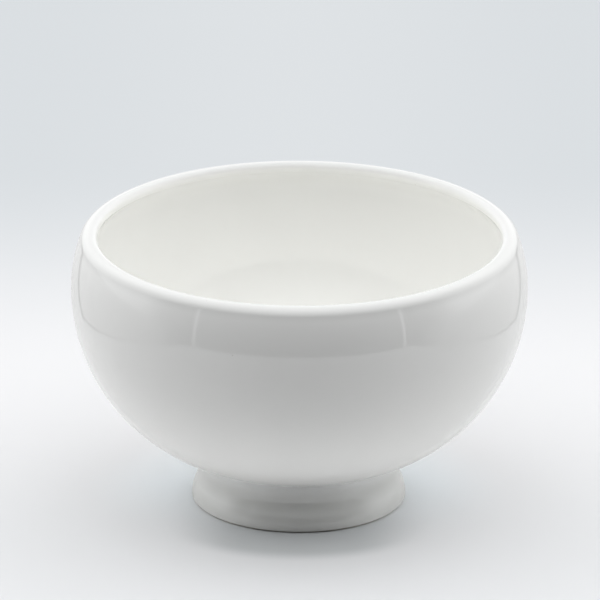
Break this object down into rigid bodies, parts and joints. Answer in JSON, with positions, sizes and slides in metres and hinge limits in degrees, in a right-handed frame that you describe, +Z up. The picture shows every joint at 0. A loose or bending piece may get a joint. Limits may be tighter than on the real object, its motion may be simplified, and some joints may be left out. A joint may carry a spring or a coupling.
{
  "type": "latte bowl",
  "caption": "Round footed drinking bowl in white glazed porcelain, with a full belly, a rounded lip drawn slightly inwards and a flared foot ring that rests on bare clay.",
  "frame": {"origin": "centre of the circle that the foot ring stands on, on the table plane", "axes": "+Z up along the bowl's axis of revolution; X and Y lie in the table plane and are interchangeable, with the picture taken from -Y"},
  "size_m": [0.14, 0.14, 0.086],
  "materials": {
    "clay": "fired clay under the glaze",
    "bare_clay": "bare fired clay, ground smooth, matt",
    "slip": "fired slip, sponged smooth",
    "outer_glaze": "glossy neutral white glaze",
    "inner_glaze": "glossy warm white glaze",
    "recess_glaze": "glossy neutral white glaze, slightly pooled"
  },
  "bodies": {
    "root": {"bowl_body": "clay", "foot_ring": "bare_clay", "slip_joint": "slip", "outer_glaze": "outer_glaze", "inner_glaze": "inner_glaze", "recess_glaze": "recess_glaze"}
  },
  "joints": []
}
